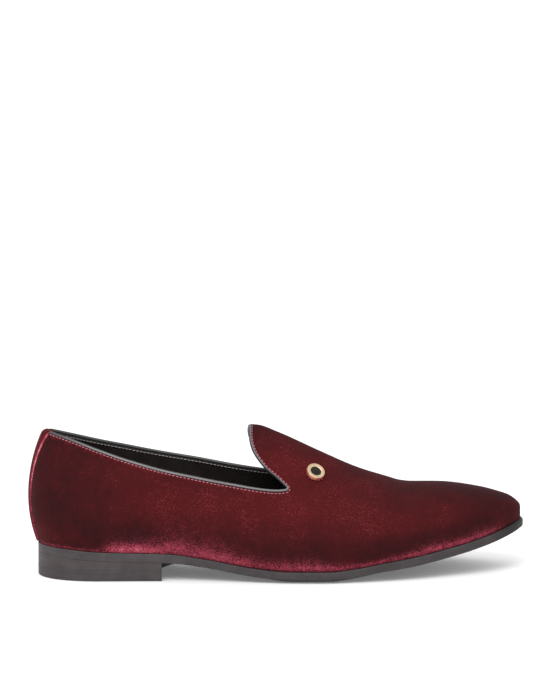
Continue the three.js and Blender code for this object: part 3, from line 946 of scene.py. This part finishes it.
def collar_piping():
    line, normals = collar_line(PIPING_INSET, WALL / 2, PIPING_STEPS, clear=-PIPING_UNDER_STRIP)
    bm = tube(line, normals, PIPING_RADIUS, PIPING_SIDES)
    made = piece("collar_piping", bm, PIPING_LEATHER, ["collar_piping"])
    from_end = 0.5 - abs(layer(made, "along") - 0.5)
    turn = layer(made, "across")
    # Painted highlight along the outer face, and a fainter painted sheen along the inner one
    piping_highlight = streak(turn, *PIPING_HIGHLIGHT)
    piping_highlight *= lerp(HIGHLIGHT_AT_HEEL, 1, ramp(from_end, *HIGHLIGHT_FROM_HEEL))
    piping_highlight *= lerp(1, HIGHLIGHT_AT_TONGUE, ramp(from_end, *HIGHLIGHT_TO_TONGUE))
    painted_shine = INNER_SHEEN_STRENGTH * streak(turn, *PIPING_INNER_SHEEN)
    paint(made, "piping_highlight", np.maximum(piping_highlight, painted_shine))


# Rows of stitches: how far apart they lie, how round each one is, and how finely a row's length is measured
STITCH_PITCH = 2.3
STITCH_SIDES = 8
STITCH_RINGS = 6
MEASURE_STEPS = 200


# How many stitches a row round the opening has
def stitch_count(inset, depth):
    line, _ = collar_line(inset, depth, MEASURE_STEPS)
    length = np.linalg.norm(np.diff(line, axis=0), axis=1).sum()
    return round(length / STITCH_PITCH)


# Stitches along a line, which lie on the surface: copies of one ball, drawn out to the stitch's length
def stitches(line, normals, length, thick):
    ball = bmesh.new()
    bmesh.ops.create_uvsphere(ball, u_segments=STITCH_SIDES, v_segments=STITCH_RINGS, radius=0.5)
    along = unit(np.gradient(line, axis=0))
    across = np.cross(normals, along)
    axes = np.stack([length * along, thick * across, thick * normals], axis=-1)
    bm = bmesh.new()
    for point, turn in zip(line, axes):
        stitch = bpy.data.meshes.new("stitch")
        ball.to_mesh(stitch)
        stitch.transform(Matrix.Translation(point) @ Matrix(turn).to_4x4())
        bm.from_mesh(stitch)
        bpy.data.meshes.remove(stitch)
    ball.free()
    return bm


# Crimson stitches in the velvet, close under the piping and clear of the strip
TOPLINE_STITCH_LENGTH = 1.7
TOPLINE_STITCH_THICK = 0.55
TOPLINE_STITCH_BELOW = 0.05
TOPLINE_STITCH_LIFT = 0.16
TOPLINE_STITCH_CLEAR = 0.6


def topline_stitches():
    inset, depth = -TOPLINE_STITCH_BELOW, -TOPLINE_STITCH_LIFT
    count = stitch_count(inset, depth)
    line, normals = collar_line(inset, depth, count, clear=TOPLINE_STITCH_CLEAR)
    bm = stitches(line, normals, TOPLINE_STITCH_LENGTH, TOPLINE_STITCH_THICK)
    piece("topline_stitches", bm, CRIMSON_THREAD)


# The binding turned over the topline to the inside. Its profile has a row for each point: how far down
# its width, and how far it stands out from the lining.
BINDING_WIDTH = 0.8
BINDING_THICK = 0.3
BINDING_STEPS = 260
BINDING_PROFILE = [
    [0, 0.1],
    [0.1, 0.35],
    [0.3, 0.4],
    [0.6, 0.4],
    [0.85, 0.35],
    [0.95, 0.2],
    [1, -0.1],
]


def collar_binding():
    lines = np.array(
        [
            collar_line(-BINDING_WIDTH * down, WALL + proud, BINDING_STEPS)[0]
            for down, proud in BINDING_PROFILE
        ]
    )

    def place(u, v):
        i = np.round(u * (BINDING_STEPS - 1)).astype(int)
        j = np.round(v * (len(lines) - 1)).astype(int)
        return lines[j, i]

    bm = thickened(sheet(BINDING_STEPS - 1, len(lines) - 1, place), BINDING_THICK)
    piece("collar_binding", bm, BINDING_LEATHER)


# Grey stitches along the lower edge of the binding
BINDING_STITCH_LENGTH = 2.2
BINDING_STITCH_THICK = 0.6
BINDING_STITCH_BELOW = BINDING_WIDTH + 0.1
BINDING_STITCH_LIFT = 0.15


def binding_stitches():
    count = stitch_count(-BINDING_STITCH_BELOW, WALL)
    line, normals = collar_line(-BINDING_STITCH_BELOW, WALL + BINDING_STITCH_LIFT, count)
    bm = stitches(line, normals, BINDING_STITCH_LENGTH, BINDING_STITCH_THICK)
    piece("binding_stitches", bm, GREY_THREAD)


# The strip over the heel's back seam: up the outside, over the topline and a little way down inside.
# Its half widths, its columns and rows, and how far along the last its edges are searched for.
STRIP_HALF_FOOT = 6.5
STRIP_HALF_TOP = 8.5
STRIP_GRID = (150, 32)
STRIP_SEARCH = 0.3
# Where it starts up the last's side, and how far it reaches down inside and how deep it ends there
STRIP_FOOT = 0.03
STRIP_INSIDE = 0.16
STRIP_END_DEPTH = 0.4
# It lies closer to the wall at the top than at the foot, and is rounded off towards its edges
STRIP_OUT_FOOT = 1.55
STRIP_OUT_TOP = 0.8
STRIP_OUT_FROM = 0.25
STRIP_OUT_WAY = 0.5
STRIP_EDGE = 0.05
STRIP_ROUNDING = 7
STRIP_THICK = 0.3
# The fold takes the stretch between two shares of its length, starts a little under the topline,
# and bulges up and to the inside
STRIP_FOLD_AT = 0.7
STRIP_FOLD_END = 0.8
STRIP_FOLD_DROP = 0.015
STRIP_FOLD_RISE = 4.1
STRIP_FOLD_INSIDE = 4.3
STRIP_FOLD_LIFT = 1.0
STRIP_FOLD_FULLNESS = 0.3
STRIP_FOLD_STEP = 0.01


def heel_strip():
    side_view = TOPLINE[: TOPLINE_SAMPLES // 2]

    def over_topline(points):
        top = np.interp(points[:, 0], side_view[:, 0], side_view[:, 1])
        return points[:, 2] - top - TOPLINE_TILT.rise(points[:, 0]) * points[:, 1]

    def strip_at(c, share):
        half = lerp(STRIP_HALF_FOOT, STRIP_HALF_TOP, share)
        edge = bisect(0 * c, 0 * c + STRIP_SEARCH, lambda u: abs(skin(u, share / 2)[:, 1]) - half)
        return abs(c) * edge, np.where(c < 0, share / 2, 1 - share / 2)

    def place(u, v):
        c = 2 * v - 1
        top = bisect(0 * c + BELLY_SHARE, 0 * c + 1, lambda s: over_topline(skin(*strip_at(c, s))))
        top -= STRIP_FOLD_DROP
        crown = np.sqrt(1 - abs(c) ** STRIP_ROUNDING)
        rising = np.clip(u / STRIP_FOLD_AT, 0, 1)
        turn = np.pi * np.clip((u - STRIP_FOLD_AT) / (STRIP_FOLD_END - STRIP_FOLD_AT), 0, 1)
        falling = np.clip((u - STRIP_FOLD_END) / (1 - STRIP_FOLD_END), 0, 1)
        full = lerp(STRIP_OUT_FOOT, STRIP_OUT_TOP, ramp(rising, STRIP_OUT_FROM, STRIP_OUT_WAY))
        out = lerp(STRIP_EDGE, full, crown)
        outside = offset_skin(*strip_at(c, lerp(STRIP_FOOT, top, rising)), out)
        up = unit(skin(*strip_at(c, top + STRIP_FOLD_STEP)) - skin(*strip_at(c, top)))
        inner = WALL + lerp(STRIP_EDGE, STRIP_FOLD_INSIDE, crown)
        rise = lerp(WALL, STRIP_FOLD_RISE, crown)
        folded = offset_skin(*strip_at(c, top), (out - inner) / 2 + (out + inner) / 2 * np.cos(turn))
        fullness = np.where(turn < np.pi / 2, 1, STRIP_FOLD_FULLNESS)
        folded += up * (rise * np.sin(turn).clip(0) ** fullness)[:, None]
        folded[:, 2] += STRIP_FOLD_LIFT * crown * np.sin(2 * turn - np.pi).clip(0)
        depth = lerp(inner, WALL + STRIP_END_DEPTH, falling)
        inside = offset_skin(*strip_at(c, top - STRIP_INSIDE * falling), -depth)
        over = (u > STRIP_FOLD_AT)[:, None]
        down = (u > STRIP_FOLD_END)[:, None]
        return np.where(down, inside, np.where(over, folded, outside))

    bm = thickened(sheet(*STRIP_GRID, place), STRIP_THICK)
    made = piece("heel_strip", bm, VELVET, ["heel_strip"])
    paint_strip_sheen(made)


# The strip's nap is light as far as its fold, and painted dark inside it as shade
STRIP_NAP_OUTSIDE = 0.6
STRIP_SHADE_INSIDE = -0.4
STRIP_OUTSIDE_END = STRIP_FOLD_AT + 0.04
STRIP_OUTSIDE_WAY = 0.03
# Its edges carry a painted sheen, less at the foot and close under the fold: where this starts towards an
# edge, and up the strip, each with the way it takes
STRIP_SHEEN_TOWARDS_EDGE = (0.84, 0.08)
STRIP_SHEEN_UP_STRIP = (0.37, 0.14)
STRIP_SHEEN_AT_FOOT = 0.4
STRIP_SHEEN_AT_TOP = 1.25
STRIP_LESS_SHEEN = 0.55
STRIP_LESS_SHEEN_AT = 0.675
STRIP_LESS_SHEEN_REACH = 0.025
# A faint painted sheen runs up its middle
STRIP_PLAIN = 0.06
STRIP_CREST_SHEEN = 0.3
STRIP_CREST_SHEEN_HALF = 0.4


# The strip's nap with its painted shade inside, and the painted sheen on its edges and up its middle
def paint_strip_sheen(made):
    up = layer(made, "along")
    off_middle = abs(2 * layer(made, "across") - 1)
    outside = 1 - ramp(up, STRIP_OUTSIDE_END, STRIP_OUTSIDE_WAY)
    edge = ramp(off_middle, *STRIP_SHEEN_TOWARDS_EDGE)
    crest_sheen = 1 - ramp(off_middle, 0, STRIP_CREST_SHEEN_HALF)
    wear_and_highlight = lerp(STRIP_SHEEN_AT_FOOT, STRIP_SHEEN_AT_TOP, ramp(up, *STRIP_SHEEN_UP_STRIP))
    wear_and_highlight *= 1 - STRIP_LESS_SHEEN * patch(up, STRIP_LESS_SHEEN_AT, STRIP_LESS_SHEEN_REACH)
    paint(made, "nap_sheen_and_shade", lerp(STRIP_SHADE_INSIDE, STRIP_NAP_OUTSIDE, outside))
    paint(made, "sheen_band", outside * (lerp(STRIP_PLAIN, wear_and_highlight, edge) + STRIP_CREST_SHEEN * crest_sheen))


# A plate's section has a flat stretch along each rim, rounded corners, and the middle between the rims
RIM_INSET = 7
RIM_STEPS = 4
CORNER_STEPS = 6
MIDDLE_STEPS = 11


# The section of a plate, as a row for each of its points: how far across from the outer rim to the inner
# one, how far in from the rim, whether on the underside (0) or the top (1), and how much of the corner's
# radius is added inwards and upwards
def plate_section():
    turns = np.linspace(0, math.pi / 2, CORNER_STEPS)
    steps = np.linspace(0, 1, RIM_STEPS)[:-1]
    rim = [(RIM_INSET * (1 - s), 1, s, 0) for s in steps]
    rim += [(0, 1, 1 - math.sin(t), math.cos(t) - 1) for t in turns]
    rim += [(0, 0, 1 - math.cos(t), 1 - math.sin(t)) for t in turns]
    rim += [(RIM_INSET * (1 - s), 0, s, 0) for s in steps[::-1]]
    across = np.linspace(0, 1, MIDDLE_STEPS)[1:-1]
    rows = [(a, RIM_INSET, 1, 0, 0) for a in across] + [(1, *row) for row in rim]
    rows += [(a, RIM_INSET, 0, 0, 0) for a in across[::-1]] + [(0, *row) for row in rim[::-1]]
    return np.array(rows)


# Radii of a plate's corners
def corners(top, under):
    return table(["x", "top", "under"], [[0, top, under], [LENGTH, top, under]])


# Where along the rims a breast is searched for, and the power that draws a plate's last columns to it
BREAST_SEARCH = (0.1, 0.6)
BREAST_DRAW = 6


# A plate along the feather edge: its rim lies at a distance past that edge, its top and its underside
# at given heights. It ends where the rims meet, or at a hollow breast.
def plate(columns, rounding, rim_out, top, under, breast=None):
    section = plate_section()
    ends = {side: 1 if breast is None else breast_place(rim_out, side, breast) for side in (-1, 1)}
    last = columns if breast is None else columns - 1

    def place(u, w):
        row = np.round(w * len(section)).astype(int) % len(section)
        across, flat, level, inward, upward = section[row].T
        column = np.round(u * columns)
        u = np.minimum(column / last, 1)
        rims, insets, shifts = [], [], []
        for side in (-1, 1):
            at = u * ends[side]
            radius = np.where(level == 1, rounding.top(station(at)), rounding.under(station(at)))
            insets.append(flat + radius * inward)
            shifts.append(radius * upward)
            rims.append(feather_edge(at, side, rim_out(station(at)) - insets[-1]))
        x, y, _ = lerp(*rims, across[:, None]).T
        if breast is not None:
            x = x + u**BREAST_DRAW * (breast(y) - x)
        closing = column > last
        level = np.where(closing, 0.5, level)
        shift = np.where(closing, 0, lerp(*shifts, across))
        z = lerp(under(x, lerp(*insets, across)), top(x), level) + shift
        return np.stack([x, y, z], axis=-1)

    return sheet(columns, len(section), place)


# How far along one rim the breast crosses it
def breast_place(rim_out, side, breast):
    def past(u):
        rim = feather_edge(u, side, rim_out(station(u)))
        return rim[:, 0] - breast(rim[:, 1])

    low, high = BREAST_SEARCH
    return bisect(np.array([low]), np.array([high]), past)[0]


# Where the breast lies along the last, across the heel
def heel_breast(y):
    return BREAST_X + BREAST_RADIUS - np.sqrt(BREAST_RADIUS**2 - (y - BREAST_Y) ** 2)


# Where the sole is painted darker: on its tread and under the overhang at the ball as painted shade and
# shadow, and along its edge from the waist on and more at the toe. Pairs give where this starts and over
# what way, or its middle and reach.
TREAD_FACES_DOWN = (0.96, 0.03)
EDGE_DARKER = 0.22
EDGE_DARKER_FROM = (70, 40)
TOE_DARKER = 0.95
TOE_DARKER_FROM = (274, 20)
OVERHANG_SHADOW = 0.4
OVERHANG_ALONG = (205, 24)
OVERHANG_RISE = (0.7, 0.3)


# How high each point of a sole piece lies between its underside and its top, and how dark it is painted
def paint_sole(made, top, under):
    x, _, z = points_on_last(made).T
    rise = np.clip((z - under(x, 0)) / (top(x) - under(x, 0)), 0, 1)
    paint(made, "rise", rise)
    normals = np.empty(3 * len(x), np.float32)
    made.data.vertex_normals.foreach_get("vector", normals)
    tread_shade = ramp(-normals[2::3], *TREAD_FACES_DOWN)
    edge = lerp(EDGE_DARKER, TOE_DARKER, ramp(x, *TOE_DARKER_FROM)) * ramp(x, *EDGE_DARKER_FROM)
    overhang_shadow = OVERHANG_SHADOW * patch(x, *OVERHANG_ALONG) * patch(rise, *OVERHANG_RISE)
    paint(made, "sole_darkening", np.maximum(tread_shade, np.maximum(edge, overhang_shadow)))


# Radii of the outsole's corners, larger at the toe
SOLE_CORNERS = table(["x", "top", "under"], [[0, 0.3, 0.5], [280, 0.3, 0.5], [299, 1.8, 1.7]])
# Columns of each plate
SOLE_COLUMNS = 190
HEEL_COLUMNS = 71
SOCK_COLUMNS = 150
# The lift reaches a hair into the sole, and stands as little off the top piece
LIFT_INTO_SOLE = 0.02
LIFT_OFF_PIECE = 0.03


# The outsole: square edge, arch and toe spring, with a chamfer under its rim
def outsole():
    def under(x, inset):
        return SOLE.z(x) + SOLE.lift(x) * np.maximum(1 - inset / SOLE_CHAMFER, 0)

    bm = plate(SOLE_COLUMNS, SOLE_CORNERS, SOLE.edge, sole_top, under)
    made = piece("outsole", bm, SOLE_LEATHER, ["outsole"])
    paint_sole(made, sole_top, under)


def heel_lift():
    def top(x):
        return SOLE.z(x) + LIFT_INTO_SOLE

    def under(x, inset):
        return 0 * x + TOP_PIECE_THICK + LIFT_OFF_PIECE

    bm = plate(HEEL_COLUMNS, corners(top=0.12, under=0.12), SOLE.edge, top, under, heel_breast)
    made = piece("heel_lift", bm, LIFT_LEATHER, ["heel_lift"])
    paint_sole(made, top, under)


def heel_top_piece():
    def top(x):
        return 0 * x + TOP_PIECE_THICK

    def under(x, inset):
        return 0 * x

    bm = plate(HEEL_COLUMNS, corners(top=0.2, under=0.2), SOLE.edge, top, under, heel_breast)
    made = piece("heel_top_piece", bm, HEEL_RUBBER, ["heel_top_piece"])
    paint_sole(made, top, under)


def sock():
    def top(x):
        return feather_z(x) + INSOLE_THICK

    def under(x, inset):
        return feather_z(x)

    def rim_out(x):
        return 0 * x - INSOLE_INSET

    bm = plate(SOCK_COLUMNS, corners(top=0.8, under=0.3), rim_out, top, under)
    piece("insole_sock", bm, LINING_LEATHER, ["insole"])


# The stud on the outer side of the vamp: a flared foot let into the velvet, a rounded lip, and a step down
# to the stone's seat
STUD_X = 171.5
STUD_Z = 62.8
STUD_RADIUS = 5.6
STUD_HEIGHT = 2.3
STUD_SEAT = 0.55
STUD_FLOOR = 0.8
STUD_LIP = 0.35
STUD_STEP = 0.3
STUD_BREAK = 0.1
STUD_FLANK = 0.15
STUD_TURNS = 64
STUD_SHARP = 50
# The stone: a low dome over its girdle
STONE_RADIUS = 3.3
STONE_PLAY = 0.15
STONE_FOOT = STUD_FLOOR + 0.1
STONE_GIRDLE = 1.75
STONE_DOME = 0.5
DOME_STEPS = 8
STONE_TURNS = 48
# The ring's profile, as radii and heights from the middle of its underside round to the middle of its seat
STUD_FACE = STUD_HEIGHT - STUD_STEP
STUD_PROFILE = [
    (0, -STUD_SEAT),
    (STUD_RADIUS - 0.3, -STUD_SEAT),
    (STUD_RADIUS + 0.2, 0),
    (STUD_RADIUS + 0.15, 0.3),
    (STUD_RADIUS - STUD_BREAK, STUD_HEIGHT - STUD_LIP),
    (STUD_RADIUS - 0.18, STUD_HEIGHT - STUD_BREAK),
    (STUD_RADIUS - STUD_LIP, STUD_HEIGHT),
    (STUD_RADIUS - 2 * STUD_LIP, STUD_HEIGHT - 0.08),
    (STUD_RADIUS - 2 * STUD_LIP - STUD_BREAK, STUD_FACE),
    (STONE_RADIUS + STUD_BREAK, STUD_FACE),
    (STONE_RADIUS, STUD_FACE - STUD_BREAK),
    (STONE_RADIUS, STUD_FLOOR),
    (0, STUD_FLOOR),
]


# A round piece spun from a profile of radii and heights
def turned(profile, steps):
    bm = bmesh.new()
    verts = [bm.verts.new((radius, 0, height)) for radius, height in profile]
    edges = [bm.edges.new(pair) for pair in zip(verts, verts[1:])]
    bmesh.ops.spin(
        bm,
        geom=verts + edges,
        axis=(0, 0, 1),
        cent=(0, 0, 0),
        angle=2 * math.pi,
        steps=steps,
        use_merge=True,
    )
    bmesh.ops.remove_doubles(bm, verts=bm.verts, dist=MERGE_DISTANCE / 10)
    bmesh.ops.recalc_face_normals(bm, faces=bm.faces)
    return bm


def stud():
    u, v = skin_at(np.array([STUD_X]), np.array([STUD_Z]), -1)
    foot = Vector(offset_skin(u, v, np.array([STUD_SEAT]))[0])
    normal = Vector(skin_normal(u, v)[0])
    place = Matrix.Translation(foot) @ normal.to_track_quat("Z", "Y").to_matrix().to_4x4()
    ring = turned(STUD_PROFILE, STUD_TURNS)
    # The flank is marked for the painted reflection of the velvet
    flank = [vert.co.xy.length > STUD_RADIUS - STUD_FLANK for vert in ring.verts]
    ring.transform(place)
    made = piece("stud_ring", ring, GILT, ["stud_ring"], sharp=STUD_SHARP)
    paint(made, "flank", flank)
    radius = STONE_RADIUS - STONE_PLAY
    profile = [(0, STONE_FOOT), (radius, STONE_FOOT)]
    for k in range(DOME_STEPS):
        turn = math.pi / 2 * k / DOME_STEPS
        profile.append((radius * math.cos(turn), STONE_GIRDLE + STONE_DOME * math.sin(turn)))
    stone = turned([*profile, (0, STONE_GIRDLE + STONE_DOME)], STONE_TURNS)
    stone.transform(place)
    piece("stud_stone", stone, ONYX, ["stud_stone"])


opening = opening_cutter()
velvet_upper(opening)
lining(opening)
opening.free()
collar_piping()
topline_stitches()
collar_binding()
binding_stitches()
heel_strip()
sock()
outsole()
heel_lift()
heel_top_piece()
stud()


# The studio, in metres, watts and degrees: a wide floor a hair under the shoe, white light all round, and a
# softbox in front of it to the left
FLOOR_HALF = 6
FLOOR_DROP = 0.2 * MM
LIGHT_ALL_ROUND = 1.06
SOFTBOX_POWER = 13
SOFTBOX_SIZE = 0.8
SOFTBOX_PLACE = (-0.25, -1.05, 1.15)
SOFTBOX_TILT = 44
SOFTBOX_TURN = -13


def paper_floor():
    bm = bmesh.new()
    bmesh.ops.create_grid(bm, x_segments=1, y_segments=1, size=FLOOR_HALF)
    bmesh.ops.translate(bm, verts=bm.verts, vec=(0, 0, -FLOOR_DROP))
    mesh = bpy.data.meshes.new("floor")
    bm.to_mesh(mesh)
    bm.free()
    mesh.materials.append(studio_paper())
    floor = bpy.data.objects.new("floor", mesh)
    bpy.context.scene.collection.objects.link(floor)


def lights():
    world = bpy.data.worlds.new("studio")
    world.use_nodes = True
    background = world.node_tree.nodes["Background"]
    background.inputs["Color"].default_value = colour("ffffff")
    background.inputs["Strength"].default_value = LIGHT_ALL_ROUND
    bpy.context.scene.world = world
    lamp = bpy.data.lights.new("softbox", "AREA")
    lamp.energy = SOFTBOX_POWER
    lamp.size = SOFTBOX_SIZE
    softbox = bpy.data.objects.new("softbox", lamp)
    softbox.location = SOFTBOX_PLACE
    softbox.rotation_euler = (math.radians(SOFTBOX_TILT), 0, math.radians(SOFTBOX_TURN))
    bpy.context.scene.collection.objects.link(softbox)
    bpy.context.scene.view_settings.view_transform = "Standard"


# The camera: where it stands from the shoe's middle, and the pixel that this middle shows at
PICTURE_WIDTH = 550
PICTURE_HEIGHT = 700
SHOE_MIDDLE = (0, 0, 45)
MIDDLE_PIXEL = (276.8, 496.8)
CAMERA_DISTANCE = 1900
CAMERA_ELEVATION = 9.2
CAMERA_YAW = 3
FOCAL_PIXELS = 3116
SENSOR = 36


def camera():
    rise, yaw = math.radians(CAMERA_ELEVATION), math.radians(CAMERA_YAW)
    back = Vector((-math.sin(yaw) * math.cos(rise), -math.cos(yaw) * math.cos(rise), math.sin(rise)))
    data = bpy.data.cameras.new("camera")
    data.sensor_width = SENSOR
    data.lens = FOCAL_PIXELS / max(PICTURE_WIDTH, PICTURE_HEIGHT) * SENSOR
    made = bpy.data.objects.new("camera", data)
    made.location = (Vector(SHOE_MIDDLE) + CAMERA_DISTANCE * back) * MM
    pitch = rise - math.atan((MIDDLE_PIXEL[1] - PICTURE_HEIGHT / 2) / FOCAL_PIXELS)
    heading = yaw - math.atan((MIDDLE_PIXEL[0] - PICTURE_WIDTH / 2) / FOCAL_PIXELS)
    made.rotation_euler = (math.pi / 2 - pitch, 0, -heading)
    bpy.context.scene.collection.objects.link(made)
    bpy.context.scene.camera = made


paper_floor()
lights()
camera()
